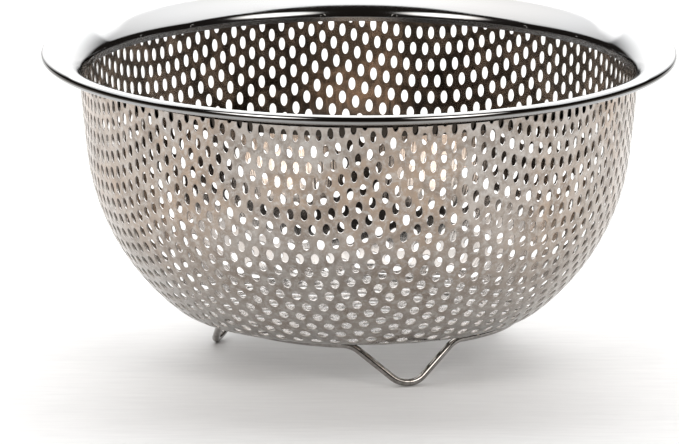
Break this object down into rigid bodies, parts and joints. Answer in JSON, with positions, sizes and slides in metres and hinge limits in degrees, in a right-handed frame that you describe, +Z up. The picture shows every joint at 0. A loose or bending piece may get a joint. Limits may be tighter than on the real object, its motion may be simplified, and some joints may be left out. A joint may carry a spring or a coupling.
{
  "type": "basket strainer",
  "caption": "Deep perforated metal strainer bowl with a domed, rolled-edge rim ring, standing on a wire foot ring with splayed V-shaped feet; it drains and rinses what is put in it.",
  "frame": {"origin": "on the bowl's axis, in the plane the three feet stand on", "axes": "+Z up along the bowl's axis, -Y towards the front, +X to the right seen from the front"},
  "size_m": [0.1944, 0.1944, 0.0945],
  "materials": {
    "bowl_steel": "bright drawn stainless steel with a faint warm tint",
    "rim_steel": "polished stainless steel",
    "foot_steel": "bright drawn stainless wire",
    "weld_steel": "satin weld metal"
  },
  "bodies": {
    "root": {"perforated_bowl": "bowl_steel", "rim_ring": "rim_steel", "foot_ring": "foot_steel", "butt_weld": "weld_steel", "foot_welds": "weld_steel", "rim_welds": "weld_steel"}
  },
  "joints": []
}
